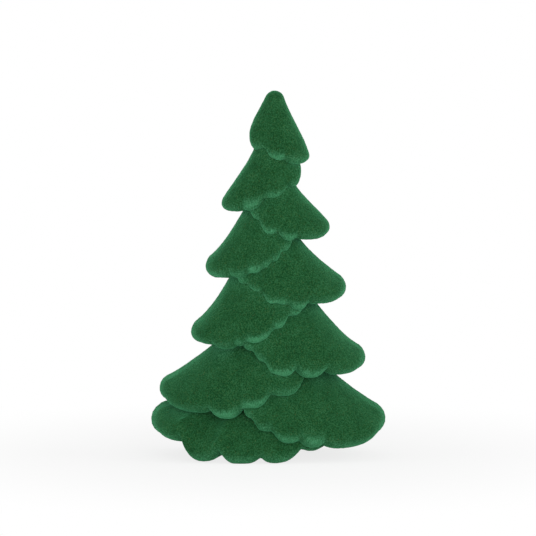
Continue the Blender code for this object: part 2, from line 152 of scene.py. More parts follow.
SEVEN_LOBES = (
    (-1, 0.31), (-0.73, 0.32), (-0.48, 0.29), (-0.36, 0.23, 0.5), (-0.28, 0.20), (-0.16, 0.13, 0.6),
    (-0.09, 0.09), (0.10, -0.02, 1.15), (0.27, 0.06), (0.42, -0.03, 0.9), (0.60, 0.05),
    (0.77, -0.01, 0.2), (1, 0))
EIGHT_LOBES = (
    (-1, 0.38), (-0.74, 0.34), (-0.51, 0.27), (-0.22, 0.11, 0.4), (0.02, 0.13), (0.18, -0.02, 1.1),
    (0.29, -0.04), (0.42, -0.13, 1.5), (0.57, -0.04), (0.70, -0.075, 0.3), (1, 0))
NINE_LOBES = (
    (-1, 0.44), (-0.72, 0.41), (-0.34, 0.32), (-0.26, 0.23), (-0.21, 0.18), (-0.08, 0.10, 0.5),
    (0, 0.10), (0.15, -0.02, 0.8), (0.25, 0.01), (0.38, -0.065, 0.85, 1.5), (0.47, -0.025),
    (0.63, -0.083, 0.4), (1, 0))
BASE_LOBES = (
    (-1, 0), (-0.85, -0.05), (-0.66, -0.07), (-0.51, -0.17, 0.3), (-0.389, -0.11), (-0.02, -0.335, 0.4),
    (0.10, -0.245), (0.285, -0.355, 0.6), (0.455, -0.14), (0.617, -0.32, 0.5), (0.771, 0.02),
    (0.85, -0.035, 0.2), (1, 0))
BASE_REAR_LOBES = (
    (-1, 0), (-0.85, -0.06), (-0.72, -0.24), (-0.50, -0.36), (-0.33, -0.28), (-0.05, -0.36),
    (0.12, -0.28), (0.28, -0.36), (0.43, -0.24), (0.58, -0.35), (0.75, -0.02), (0.85, -0.035), (1, 0))

# From the tip down. Crown and lip are heights; paw, heel and depth are reaches from the dowel's axis.
Hood = namedtuple("Hood", "name side crown paw heel depth lip paw_round heel_round "
                          "paw_belly_high paw_belly_low lobes rear_lobes")
HOODS = (
    Hood("tip_hood", RIGHT, 0.2400, 0.0227, 0.0163, 0.0155, 0.1935, 0.0042, 0.0081, -0.03, 0.04,
         TIP_LOBES, TIP_LOBES),
    Hood("bough_2_left", LEFT, 0.2225, 0.0330, 0.0188, 0.0190, 0.1616, 0.0049, 0.0080, -0.13, -0.02,
         TWO_LOBES, TWO_LOBES),
    Hood("bough_3_right", RIGHT, 0.2014, 0.0375, 0.0216, 0.0225, 0.1448, 0.0061, LIP_ROUND, -0.19, -0.04,
         THREE_LOBES, THREE_LOBES),
    Hood("bough_4_left", LEFT, 0.1816, 0.0435, 0.0210, 0.0255, 0.1178, 0.0072, LIP_ROUND, 0.00, -0.07,
         FOUR_LOBES, FOUR_LOBES),
    Hood("bough_5_right", RIGHT, 0.1652, 0.0482, 0.0304, 0.0285, 0.1033, 0.0082, LIP_ROUND, -0.17, -0.07,
         FIVE_LOBES, FIVE_LOBES),
    Hood("bough_6_left", LEFT, 0.1518, 0.0531, 0.0327, 0.0315, 0.0750, 0.0070, LIP_ROUND, 0.01, -0.09,
         SIX_LOBES, SIX_LOBES),
    Hood("bough_7_right", RIGHT, 0.1250, 0.0609, 0.0419, 0.0345, 0.0572, 0.0081, LIP_ROUND, 0.01, -0.08,
         SEVEN_LOBES, SEVEN_LOBES),
    Hood("bough_8_left", LEFT, 0.0994, 0.0738, 0.0409, 0.0375, 0.0368, 0.0081, LIP_ROUND, -0.03, -0.05,
         EIGHT_LOBES, EIGHT_LOBES),
    Hood("bough_9_right", RIGHT, 0.0796, 0.0741, 0.0570, 0.0400, 0.0144, 0.0105, LIP_ROUND, -0.01, -0.04,
         NINE_LOBES, NINE_LOBES),
    Hood("base_hood", LEFT, 0.0566, 0.0793, 0.0524, 0.0425, 0.0144, 0.0100, LIP_ROUND, -0.02, -0.065,
         BASE_LOBES, BASE_REAR_LOBES),
)
TIP, BASE = HOODS[0], HOODS[-1]

# Colours of the flock, and the stops of its ramps
FLOCK_DARK = (0.0097, 0.0680, 0.0200)
FLOCK_GREEN = (0.0112, 0.0755, 0.0224)
FLOCK_LIGHT = (0.0138, 0.0850, 0.0268)
FLOCK_WARM = (0.0285, 0.0820, 0.0165)
# The next colour is a painted highlight on the lip bottoms. It stands in for sheen and for the light that
# falls there
FLOCK_LIP_HIGHLIGHT = (0.0480, 0.2200, 0.0980)
FLOCK_SPECK = (0.0900, 0.0850, 0.0300)
# The next colour is painted light under the lip above. It lifts the shadow that falls in the crease there
FLOCK_UNDER_LIP_LIGHT = (0.0550, 0.2900, 0.1270)
FLOCK_BLOTCHES = ((0.36, FLOCK_DARK), (0.50, FLOCK_GREEN), (0.66, FLOCK_LIGHT))
FLOCK_TUFTS = ((0.40, (0.40, 0.60, 0.47)), (0.50, (1.0, 1.0, 1.0)), (0.61, (2.15, 1.54, 1.87)))
FLOCK_STREAK_STRETCH = (1, 1, 0.35)

# How far each effect takes the flock's colour: 0 not at all, 1 all the way
WARM_SHARE = 0.6
# The next share sets how far the painted light under the lip above goes
UNDER_LIP_LIGHT_SHARE = 0.80
# The next three set how far the painted lip highlight goes, and how much it fades the grain
LIP_HIGHLIGHT_SHARE = 0.10
LOBE_HIGHLIGHT_SHARE = 0.82
HIGHLIGHT_GRAIN_FADE = 0.7

# Stage, light and camera, in metres and watts
FLOOR_REACH = 12.0
FLOOR_WHITE = (0.92, 0.92, 0.92)
FLOOR_GLOW_REACHES = (0.08, 0.30)
FLOOR_GLOW_NEAR = 0.80
WORLD_FILL = 0.50
LIGHT_TARGET = (0, 0, 0.12)
LENS_MM = 400
SENSOR_MM = 36
FRAME_WIDTH = 0.3509
CAMERA_TILT = math.radians(6)
CAMERA_TARGET = (-0.0002, 0, 0.1237)
CAMERA_FAR = 50

dowel_low, dowel_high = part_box("centre_dowel")
AXIS_X = (dowel_low[0] + dowel_high[0]) / 2


# Lips and outlines

def smooth_step(t):
    t = np.clip(t, 0, 1)
    return t * t * (3 - 2 * t)


def softened(values, width):
    """A running mean along the lip that rounds the notches."""
    reach = max(1, int(round(width)))
    kernel = np.hanning(2 * reach + 3)[1:-1]
    padded = np.concatenate([values[reach:0:-1], values, values[-2:-reach - 2:-1]])
    return np.convolve(padded, kernel / kernel.sum(), "valid")


def bezier(start, high, low, end, t):
    return (1 - t) ** 3 * start + 3 * t * (1 - t) ** 2 * high + 3 * t ** 2 * (1 - t) * low + t ** 3 * end


def hood_plan(hood, places):
    """Outline of the hood seen from above, as distances along X and Y."""
    reach = np.where(places > 0, hood.paw, hood.heel)
    depth = hood.depth * (1 - HEEL_TUCK * smooth_step(-places / HEEL_TUCK_SPAN))
    out_y = depth * np.maximum(1 - np.abs(places) ** OVAL_POWER, 0) ** (1 / OVAL_POWER)
    return places * reach * hood.side, out_y


def even_places(hood, spacing):
    """Shares of the reach, heel to paw, spaced evenly along the outline, and their true spacing."""
    turns = np.linspace(-math.pi / 2, math.pi / 2, OUTLINE_SAMPLES)
    places = np.sign(turns) * np.abs(np.sin(turns)) ** END_CROWDING
    out_x, out_y = hood_plan(hood, places)
    along = np.concatenate([[0], np.cumsum(np.hypot(np.diff(out_x), np.diff(out_y)))])
    count = max(FEWEST_PLACES, int(along[-1] / spacing))
    return np.interp(np.linspace(0, along[-1], count + 1), along, places), along[-1] / count


def lip_curve(lobes, places):
    """Height share of the scalloped lip, depth into the lobe, and strength and tallness of its painted
    highlight patch.
    """
    heights = np.zeros(len(places))
    inside = np.zeros(len(places))
    brushing_and_highlight = np.zeros(len(places))
    tall = np.ones(len(places))
    for bottom in range(1, len(lobes), 2):
        middle, low, *marked = lobes[bottom]
        for end in (bottom - 1, bottom + 1):
            edge, high = lobes[end]
            here = (places >= min(middle, edge)) & (places <= max(middle, edge))
            away = np.abs((places - middle) / (edge - middle)) ** LOBE_POWER
            heights = np.where(here, low + (high - low) * away, heights)
            inside = np.where(here, 1 - away, inside)
            brushing_and_highlight = np.where(here, marked[0] if marked else PLAIN_LOBE, brushing_and_highlight)
            tall = np.where(here, marked[1] if len(marked) > 1 else 1, tall)
    return heights, inside, brushing_and_highlight, tall


def end_notches(hood, places, out_y):
    """One at the notches that part the lip round each end into three lobes, seen from the side."""
    across = out_y / (hood.depth * END_NOTCH_PLACE)
    away = np.clip(np.minimum(across, 2 - across), 0, 1) ** LOBE_POWER
    return away * smooth_step((np.abs(places) - END_NOTCH_START) / END_NOTCH_RUN)


Lip = namedtuple("Lip", "level scallop rise dent inside glow tall")


def lip_shape(hood, lobes, places, out_y, spacing):
    """The lip along the outline: its even level, what lobes and end notches add, and its painted highlight
    patches.
    """
    soft = NOTCH_SOFTNESS / spacing
    heights, inside, brushing_and_highlight, tall = lip_curve(lobes, places)
    heights, inside, tall = [softened(values, soft) for values in (heights, inside, tall)]
    glow = softened(np.clip(inside, 0, 1) ** GLOW_POWER * brushing_and_highlight, soft)
    notch = softened(end_notches(hood, places, out_y), soft)
    even = softened(heights, LOBE_SPAN / spacing)
    drop = hood.crown - hood.lip
    return Lip(level=hood.lip + drop * even, scallop=drop * (heights - even),
               rise=hood.depth * END_NOTCH_RISE * notch, dent=hood.depth * END_NOTCH_DENT * notch,
               inside=inside, glow=glow, tall=tall)


# Rows of a hood: pairs of distance from the axis and height, along the outline

def crown_rows(hood, level):
    """The top: a rounded dome on the tip, one small ring on the others."""
    if hood is TIP:
        return [(TIP_DOME * math.sin(turn) + level, hood.crown - TIP_DOME * (1 - math.cos(turn)) + level)
                for turn in np.linspace(0, DOME_TURN, DOME_ROWS + 1)[1:]]
    return [(hood.depth * CROWN_RADIUS_SHARE + level, hood.crown + level)]


def side_rows(hood, lip, places, radius, start, spacing):
    """The face, from the crown to the lip, and then round the lip to its inner side."""
    toward_end = np.abs(places) ** 2
    end_round = np.where(places > 0, hood.paw_round, hood.heel_round)
    round_up = LIP_ROUND + (end_round - LIP_ROUND) * toward_end
    round_in = LIP_ROUND + (hood.paw_round * LIP_DEPTH_SHARE - LIP_ROUND) * np.clip(places, 0, 1) ** 2
    end_high = np.where(places > 0, hood.paw_belly_high, HEEL_BELLIES[0])
    end_low = np.where(places > 0, hood.paw_belly_low, HEEL_BELLIES[1])
    high = FRONT_BELLY + (end_high - FRONT_BELLY) * toward_end
    low = FRONT_BELLY + (end_low - FRONT_BELLY) * toward_end
    bulge = LOBE_BULGE * (BASE_BULGE_SHARE if hood is BASE else 1) * lip.inside

    start_out, start_up = start
    centre_out, centre_up = radius - round_in, lip.level + round_up
    chord = np.arctan2(start_up - centre_up, centre_out + round_in - start_out)
    slope = chord + np.arctan(3 * low)
    turn_start = np.arctan2(round_up * np.cos(slope), round_in * np.sin(slope))
    end_out = centre_out + round_in * np.cos(turn_start)
    end_up = centre_up + round_up * np.sin(turn_start)
    run_out, run_up = end_out - start_out, end_up - start_up
    high_out, high_up = start_out + run_out / 3 - high * run_up, start_up + run_up / 3 + high * run_out
    low_out, low_up = start_out + run_out * 2 / 3 - low * run_up, start_up + run_up * 2 / 3 + low * run_out

    rows = []
    face_rows = int(FACE_LENGTH_SHARE * (hood.crown - hood.lip) / spacing)
    for t in np.linspace(0, 1, face_rows + 1)[1:]:
        out = bezier(start_out, high_out, low_out, end_out, t)
        up = bezier(start_up, high_up, low_up, end_up, t)
        rows.append((out + bulge * t ** LOBE_FADE - lip.dent * t ** NOTCH_FADE,
                     up + lip.scallop * t ** LOBE_FADE + lip.rise * t ** NOTCH_FADE))
    turn_end = -math.pi / 2 - LIP_TURN
    for share in np.linspace(0, 1, LIP_ROWS + 1)[1:]:
        turn = turn_start + (turn_end - turn_start) * share
        rows.append((centre_out + round_in * np.cos(turn) + bulge - lip.dent,
                     centre_up + round_up * np.sin(turn) + lip.scallop + lip.rise))
    return rows


def under_rows(hood, lobes, places, radius, last):
    """The underside, inwards from the lip, and the height of its middle."""
    if hood is BASE:
        flat = np.where(places > 0, BASE_FLAT_SHARES[1], BASE_FLAT_SHARES[2])
        flat = BASE_FLAT_SHARES[0] + (flat - BASE_FLAT_SHARES[0]) * np.abs(places)
        inner, level = radius * flat, BASE_UNDERSIDE
        shares = np.linspace(0, 1, BASE_UNDER_ROWS + 1)[1:]
    else:
        highest = max(lobe[1] for lobe in lobes)
        inner, level = 0 * radius, hood.lip + (hood.crown - hood.lip) * highest + CAP_RISE
        shares = np.linspace(0, 1, CAP_ROWS + 1)[1:-1]
    out, up = last
    return [(out + (inner - out) * share, up + (level - up) * share) for share in shares], level


def soft_floor(heights):
    """Flattens what would reach below the table, with a rounded start."""
    eased = (heights + FLOOR_SOFTNESS) ** 2 / (4 * FLOOR_SOFTNESS)
    return np.where(heights > FLOOR_SOFTNESS, heights, np.where(heights < -FLOOR_SOFTNESS, 0, eased))


def lip_highlight(up, lip):
    """How near a row's points lie to the painted highlight band above the lip, 1 in its middle."""
    away = np.abs(up - lip.level - lip.scallop - lip.rise - MARK_MIDDLE * lip.tall)
    return np.exp(-(away / (MARK_HEIGHT * lip.tall)) ** MARK_POWER)


def hood_half(hood, lobes, places, spacing):
    """Directions from the axis, rows from crown to underside, painted lip highlight marks and patches, and
    the middle's height.
    """
    out_x, out_y = hood_plan(hood, places)
    radius = np.hypot(out_x, out_y)
    unmarked = 0 * radius
    lip = lip_shape(hood, lobes, places, out_y, spacing)
    top = crown_rows(hood, 0 * radius)
    side = side_rows(hood, lip, places, radius, top[-1], spacing)
    marks = [unmarked] * len(top) + [lip_highlight(up, lip) for _, up in side]
    rows = top + side
    if hood is BASE:
        rows = [(out, soft_floor(up)) for out, up in rows]
    under, level = under_rows(hood, lobes, places, radius, rows[-1])
    marks += [unmarked] * len(under)
    return out_x / radius, out_y / radius, rows + under, marks, lip.glow, level


def lip_above(hood, across):
    """Height of a hood's lip straight above or below each X, and how well it covers, 0 past its ends."""
    places = (across - AXIS_X) * hood.side
    places = np.where(places > 0, places / hood.paw, places / hood.heel)
    table = np.linspace(-1, 1, LIP_SAMPLES)
    heights = lip_curve(hood.lobes, table)[0]
    lip = hood.lip + (hood.crown - hood.lip) * np.interp(places, table, heights)
    paw_share = smooth_step((places - UNDER_LIP_PAW_START) / UNDER_LIP_PAW_RUN)
    toward_paw = UNDER_LIP_HEEL_SHARE + (1 - UNDER_LIP_HEEL_SHARE) * paw_share
    return lip, toward_paw * smooth_step((1 - np.abs(places)) * hood.paw / UNDER_LIP_FADE)


def painted_light_under_lips(hood, points):
    """Painted light under the lip that hangs over each point, lifting the shadow there: how near the point
    lies to that lip, 1 at the lip.
    """
    place = HOODS.index(hood)
    near = np.zeros(points.shape[:2])
    strength = UNDER_LIP_STRENGTHS.get(hood.name, 1)
    for upper in HOODS[max(0, place - HOODS_OVER):place]:
        lip, covered = lip_above(upper, points[..., 0])
        near = np.maximum(near, covered * np.exp(-np.maximum(lip - points[..., 2], 0) / UNDER_LIP_REACH))
    return near * strength


def hood_mesh(hood, name, spacing):
    """A closed fine mesh of one hood, with the marks that the flock's colour reads: painted highlights along
    the lips and painted light under the lip above.
    """
    middle = AXIS_X + (TIP_LEAN if hood is TIP else 0)
    places, spacing = even_places(hood, spacing)
    halves = []
    for lobes, facing in ((hood.lobes, -1), (hood.rear_lobes, 1)):
        ray_x, ray_y, rows, marks, glow, level = hood_half(hood, lobes, places, spacing)
        points = np.stack([np.stack([middle + ray_x * out, facing * ray_y * out, up], axis=1)
                           for out, up in rows])
        marks = np.stack(marks)
        halves.append((points, marks, marks * glow, painted_light_under_lips(hood, points)))
    rings = [np.concatenate([front, rear[:, -2:0:-1]], axis=1) for front, rear in zip(*halves)]
    if hood.side == LEFT:
        rings = [part[:, ::-1] for part in rings]
    points, marks, lobe_marks, under_marks = rings

    rows, count = points.shape[:2]
    coords = points.reshape(-1, 3)
    here = np.arange(count)
    after = (here + 1) % count
    quads = [np.stack([row * count + here, (row + 1) * count + here, (row + 1) * count + after,
                       row * count + after], axis=1) for row in range(rows - 1)]
    faces = np.concatenate(quads).tolist()
    last = (rows - 1) * count
    middles = []
    if hood is TIP:
        middles.append((middle, 0, hood.crown))
        top = len(coords)
        faces += [(top, int(a), int(b)) for a, b in zip(here, after)]
    else:
        faces.append(list(range(count)))
    if hood is BASE:
        faces.append([last + k for k in range(count)][::-1])
    else:
        middles.append((middle, 0, level))
        low = len(coords) + len(middles) - 1
        faces += [(low, last + int(b), last + int(a)) for a, b in zip(here, after)]
    if middles:
        coords = np.concatenate([coords, np.array(middles)])

    mesh = bpy.data.meshes.new(name)
    mesh.from_pydata(coords.tolist(), [], faces)
    spare = np.zeros(len(coords) - rows * count)
    # The lip and lobe marks place painted highlights, and the under-lip mark places painted light that lifts
    # the shadow under the lip above
    for layer, values in (("lip_highlight", marks), ("lobe_highlight", lobe_marks), ("painted_under_lip_light", under_marks)):
        made = mesh.attributes.new(layer, "FLOAT", "POINT")
        made.data.foreach_set("value", np.concatenate([values.reshape(-1), spare]))
    close_up(mesh)
    mesh.shade_smooth()
    return mesh


def close_up(mesh):
    """Points the faces outwards and divides those with more than four corners."""
    shape = bmesh.new()
    shape.from_mesh(mesh)
    bmesh.ops.recalc_face_normals(shape, faces=shape.faces)
    bmesh.ops.triangulate(shape, faces=[face for face in shape.faces if len(face.verts) > 4])
    shape.to_mesh(mesh)
    shape.free()


# Node trees

class Wiring:
    """Adds nodes to a tree and wires them, so that a formula reads as one."""

    def __init__(self, tree):
        self.nodes, self.links = tree.nodes, tree.links

    def feed(self, socket, value):
        """Wires a socket to another one, or sets its number or colour."""
        if isinstance(value, bpy.types.NodeSocket):
            self.links.new(value, socket)
        elif isinstance(value, tuple):
            socket.default_value = (*value, 1.0)
        else:
            socket.default_value = value

    def math(self, kind, first, second, clamp=False):
        made = self.nodes.new("ShaderNodeMath")
        made.operation = kind
        made.use_clamp = clamp
        for socket, value in zip(made.inputs, (first, second)):
            self.feed(socket, value)
        return made.outputs["Value"]

    def plus(self, first, second, clamp=False):
        return self.math("ADD", first, second, clamp)

    def minus(self, first, second):
        return self.math("SUBTRACT", first, second)

    def times(self, first, second, clamp=False):
        return self.math("MULTIPLY", first, second, clamp)

    def above(self, value, start, gain):
        """What a value has above a start, times a gain, from 0 to 1."""
        return self.times(self.minus(value, start), gain, True)

    def object_place(self):
        return self.nodes.new("ShaderNodeTexCoord").outputs["Object"]

    def stretched(self, scale):
        """Object coordinates, longer or shorter along each axis."""
        made = self.nodes.new("ShaderNodeMapping")
        made.inputs["Scale"].default_value = scale
        self.links.new(self.object_place(), made.inputs["Vector"])
        return made.outputs["Vector"]

    def noise(self, vector, scale, detail=2.0, roughness=0.5):
        made = self.nodes.new("ShaderNodeTexNoise")
        made.inputs["Scale"].default_value = scale
        made.inputs["Detail"].default_value = detail
        made.inputs["Roughness"].default_value = roughness
        self.links.new(vector, made.inputs["Vector"])
        return made.outputs["Fac"]

    def mark(self, name):
        made = self.nodes.new("ShaderNodeAttribute")
        made.attribute_name = name
        return made.outputs["Fac"]

    def ramp(self, value, stops):
        made = self.nodes.new("ShaderNodeValToRGB")
        self.links.new(value, made.inputs["Fac"])
        elements = made.color_ramp.elements
        while len(elements) < len(stops):
            elements.new(0.5)
        for element, (place, colour) in zip(elements, stops):
            element.position = place
            element.color = (*colour, 1.0)
        return made.outputs["Color"]

    def mix(self, factor, first, second, kind="MIX"):
        made = self.nodes.new("ShaderNodeMix")
        made.data_type = "RGBA"
        made.blend_type = kind
        for name, value in (("Factor", factor), ("A", first), ("B", second)):
            self.feed(made.inputs[name], value)
        return made.outputs["Result"]

    def bump(self, shader, height, strength, distance):
        made = self.nodes.new("ShaderNodeBump")
        made.inputs["Strength"].default_value = strength
        made.inputs["Distance"].default_value = distance
        self.links.new(height, made.inputs["Height"])
        self.links.new(made.outputs["Normal"], shader.inputs["Normal"])

    def blend(self, factor, first, second, outlet):
        """Mixes two shaders into an output node."""
        made = self.nodes.new("ShaderNodeMixShader")
        for socket, value in zip(made.inputs, (factor, first, second)):
            self.links.new(value, socket)
        self.links.new(made.outputs[0], outlet.inputs["Surface"])

    def seen_directly(self):
        """One for what the camera sees, also by way of a mirror or through glass."""
        path = self.nodes.new("ShaderNodeLightPath")
        seen = self.plus(path.outputs["Is Camera Ray"], path.outputs["Is Glossy Ray"])
        return self.plus(seen, path.outputs["Is Transmission Ray"], True)


def pile_tree():
    """Geometry Nodes that raise a moulding's skin by its pile: an even coat, soft dents and fine clumps."""
    tree = bpy.data.node_groups.new("flock_pile", "GeometryNodeTree")
    tree.interface.new_socket("Geometry", in_out="OUTPUT", socket_type="NodeSocketGeometry")
    tree.interface.new_socket("Geometry", in_out="INPUT", socket_type="NodeSocketGeometry")
    for name in ("Pile thickness", "Dent height", "Dent size", "Clump height", "Clump size",
                 "Table clearance", "Seed"):
        tree.interface.new_socket(name, in_out="INPUT", socket_type="NodeSocketFloat")
    tree.interface.new_socket("Finish", in_out="INPUT", socket_type="NodeSocketMaterial")
    wiring = Wiring(tree)
    nodes, links = tree.nodes, tree.links
    inlet = nodes.new("NodeGroupInput").outputs
    place = nodes.new("GeometryNodeInputPosition").outputs["Position"]
    normal = nodes.new("GeometryNodeInputNormal").outputs["Normal"]

    def waves(height, size):
        made = nodes.new("ShaderNodeTexNoise")
        made.noise_dimensions = "4D"
        made.inputs["Detail"].default_value = 1.0
        links.new(place, made.inputs["Vector"])
        links.new(inlet["Seed"], made.inputs["W"])
        links.new(wiring.math("DIVIDE", 1.0, size), made.inputs["Scale"])
        return wiring.times(wiring.times(wiring.minus(made.outputs["Fac"], 0.5), 2.0), height)

    height = wiring.plus(waves(inlet["Dent height"], inlet["Dent size"]),
                         waves(inlet["Clump height"], inlet["Clump size"]))
    height = wiring.plus(height, inlet["Pile thickness"])
    parts = nodes.new("ShaderNodeSeparateXYZ")
    links.new(place, parts.inputs["Vector"])
    free = wiring.math("DIVIDE", parts.outputs["Z"], inlet["Table clearance"], True)
    offset = nodes.new("ShaderNodeVectorMath")
    offset.operation = "SCALE"
    links.new(normal, offset.inputs[0])
    links.new(wiring.times(height, free), offset.inputs["Scale"])
    raised = nodes.new("GeometryNodeSetPosition")
    links.new(inlet["Geometry"], raised.inputs["Geometry"])
    links.new(offset.outputs[0], raised.inputs["Offset"])
    whole = nodes.new("GeometryNodeRealizeInstances")
    links.new(raised.outputs["Geometry"], whole.inputs["Geometry"])
    finish = nodes.new("GeometryNodeSetMaterial")
    links.new(whole.outputs["Geometry"], finish.inputs["Geometry"])
    links.new(inlet["Finish"], finish.inputs["Material"])
    links.new(finish.outputs["Geometry"], nodes.new("NodeGroupOutput").inputs["Geometry"])
    return tree


def coat(piece, tree, thickness, dent=0.0, clump=0.0, finish=None):
    """Puts the pile on a piece, with its sizes."""
    sizes = {"Pile thickness": thickness, "Dent height": dent, "Dent size": DENT_SIZE,
             "Clump height": clump, "Clump size": CLUMP_SIZE, "Table clearance": TABLE_CLEARANCE,
             "Seed": PILE_SEED, "Finish": finish}
    made = piece.modifiers.new("flock_pile", "NODES")
    made.node_group = tree
    for socket in tree.interface.items_tree:
        if socket.in_out == "INPUT" and sizes.get(socket.name) is not None:
            made[socket.identifier] = sizes[socket.name]


# Materials

def new_material(name):
    """A material, the wiring of its nodes and its main shader."""
    made = bpy.data.materials.new(name)
    made.use_nodes = True
    return made, Wiring(made.node_tree), made.node_tree.nodes["Principled BSDF"]


def set_cloth(shader, specular, sheen, sheen_roughness, sheen_tint):
    shader.inputs["Specular IOR Level"].default_value = specular
    shader.inputs["Sheen Weight"].default_value = sheen
    shader.inputs["Sheen Roughness"].default_value = sheen_roughness
    shader.inputs["Sheen Tint"].default_value = (*sheen_tint, 1.0)


def set_surface(wiring, shader, colour, varied, spread, least):
    """Base colour, and a roughness that rises from the least by a spread."""
    wiring.links.new(colour, shader.inputs["Base Color"])
    wiring.links.new(wiring.plus(wiring.times(varied, spread), least, True), shader.inputs["Roughness"])


def flock_material():
    """Dense short pile: mottled dark green, with a painted highlight along the lips and painted light under
    the lip above, which lifts the shadow there.
    """
    made, wiring, shader = new_material("green_flock_pile")
    place = wiring.object_place()
    blotch = wiring.noise(place, scale=110, detail=3)
    grain = wiring.noise(place, scale=1300, detail=2, roughness=0.7)
    hue = wiring.noise(place, scale=850, detail=2, roughness=0.6)
    nap = wiring.noise(place, scale=2400, detail=2)
    speck = wiring.noise(place, scale=1500, detail=0)
    streak = wiring.noise(wiring.stretched(FLOCK_STREAK_STRETCH), scale=1300, detail=1)
    lip, lobe, under = [wiring.mark(name) for name in ("lip_highlight", "lobe_highlight", "painted_under_lip_light")]
    body = wiring.ramp(blotch, FLOCK_BLOTCHES)
    warm = wiring.above(hue, start=0.50, gain=3.0)
    body = wiring.mix(wiring.times(warm, WARM_SHARE), body, FLOCK_WARM)
    # Painted light under the lip above, which lifts the shadow in the crease there
    body = wiring.mix(wiring.times(under, UNDER_LIP_LIGHT_SHARE), body, FLOCK_UNDER_LIP_LIGHT)
    # Painted highlight along the lip bottoms, strongest on the lobes and streaked. It stands in for sheen and
    # light, and it fades the grain
    painted_highlight = wiring.plus(wiring.times(lip, LIP_HIGHLIGHT_SHARE), wiring.times(lobe, LOBE_HIGHLIGHT_SHARE))
    combed = wiring.times(wiring.minus(streak, 0.1), 2.5)
    painted_highlight = wiring.times(painted_highlight, combed, True)
    body = wiring.mix(painted_highlight, body, FLOCK_LIP_HIGHLIGHT)
    tufted = wiring.minus(1.0, wiring.times(painted_highlight, HIGHLIGHT_GRAIN_FADE))
    body = wiring.mix(tufted, body, wiring.ramp(grain, FLOCK_TUFTS), "MULTIPLY")
    body = wiring.mix(wiring.above(speck, start=0.74, gain=4.0), body, FLOCK_SPECK)
    set_surface(wiring, shader, body, nap, spread=0.2, least=0.8)
    set_cloth(shader, specular=0.05, sheen=0.55, sheen_roughness=0.45, sheen_tint=(0.17, 0.82, 0.39))
    wiring.bump(shader, wiring.plus(wiring.times(grain, 0.7), nap), strength=0.6, distance=0.0006)
    return made


def wood_material():
    """Turned beech: pale, with grain and short dark flecks along the rod."""
    made, wiring, shader = new_material("beech_rod")
    grain = wiring.noise(wiring.stretched((1, 1, 0.06)), scale=900, detail=4, roughness=0.6)
    fleck = wiring.noise(wiring.stretched((1, 1, 0.15)), scale=1800, detail=1)
    body = wiring.ramp(grain, ((0.30, (0.43, 0.28, 0.15)), (0.50, (0.60, 0.43, 0.26)),
                               (0.72, (0.70, 0.54, 0.35))))
    body = wiring.mix(wiring.above(fleck, start=0.66, gain=5.0), body, (0.25, 0.13, 0.06))
    set_surface(wiring, shader, body, grain, spread=0.3, least=0.45)
    wiring.bump(shader, grain, strength=0.3, distance=0.0002)
    return made


def board_material():
    """Fibre board: brown felted fibres with paler and darker bits."""
    made, wiring, shader = new_material("brown_fibre_board")
    place = wiring.stretched((1, 1, 2.5))
    fibre = wiring.noise(place, scale=1400, detail=5, roughness=0.7)
    cloud = wiring.noise(place, scale=90, detail=2)
    body = wiring.ramp(fibre, ((0.30, (0.20, 0.12, 0.06)), (0.50, (0.36, 0.24, 0.14)),
                               (0.70, (0.52, 0.38, 0.24))))
    body = wiring.mix(wiring.times(cloud, 0.35), body, (0.30, 0.19, 0.10))
    set_surface(wiring, shader, body, fibre, spread=0.2, least=0.7)
    wiring.bump(shader, fibre, strength=0.4, distance=0.0002)
    return made


def zinc_material():
    """Zinc-plated steel: cool grey with a soft crystal bloom and fine brushing."""
    made, wiring, shader = new_material("zinc_plating")
    bloom = wiring.noise(wiring.object_place(), scale=260, detail=3)
    brushing_and_highlight = wiring.noise(wiring.stretched((0.05, 1, 1)), scale=3000, detail=2)
    body = wiring.ramp(bloom, ((0.35, (0.48, 0.49, 0.50)), (0.50, (0.60, 0.60, 0.58)),
                               (0.68, (0.68, 0.69, 0.66))))
    varied = wiring.plus(bloom, brushing_and_highlight)
    set_surface(wiring, shader, body, varied, spread=0.15, least=0.22)
    shader.inputs["Metallic"].default_value = 1.0
    wiring.bump(shader, brushing_and_highlight, strength=0.15, distance=0.0001)
    return made


def felt_material():
    """Pressed felt: matted dark green fibres with a few pale ones."""
    made, wiring, shader = new_material("dark_green_felt")
    mat = wiring.noise(wiring.object_place(), scale=1300, detail=5, roughness=0.7)
    stray = wiring.noise(wiring.stretched((0.2, 1, 1)), scale=2200, detail=1)
    body = wiring.ramp(mat, ((0.32, (0.008, 0.035, 0.014)), (0.50, (0.02, 0.07, 0.03)),
                             (0.68, (0.04, 0.12, 0.055))))
    body = wiring.mix(wiring.above(stray, start=0.68, gain=4.0), body, (0.10, 0.20, 0.12))
    set_surface(wiring, shader, body, mat, spread=0.15, least=0.85)
    set_cloth(shader, specular=0.1, sheen=0.4, sheen_roughness=0.5, sheen_tint=(0.35, 0.75, 0.45))
    wiring.bump(shader, mat, strength=0.6, distance=0.0004)
    return made


# Other shapes

def link(name, mesh, surface=None):
    made = bpy.data.objects.new(name, mesh)
    bpy.context.scene.collection.objects.link(made)
    if surface:
        mesh.materials.append(surface)
    return made


def settle(piece):
    """Turns a piece and its modifiers into a plain mesh."""
    bpy.context.view_layer.update()
    done = bpy.data.meshes.new_from_object(piece.evaluated_get(bpy.context.evaluated_depsgraph_get()))
    done.name = piece.name
    done.shade_smooth()
    piece.modifiers.clear()
    piece.data = done


def oval(box, share, grow, height):
    """A ring round the middle of a node's box, at a share of its size."""
    (x0, y0, _), (x1, y1, _) = box
    turns = [math.tau * k / OVAL_STEPS for k in range(OVAL_STEPS)]
    return [((x0 + x1) / 2 + ((x1 - x0) / 2 * share + grow) * math.cos(turn),
             (y0 + y1) / 2 + ((y1 - y0) / 2 * share + grow) * math.sin(turn), height) for turn in turns]


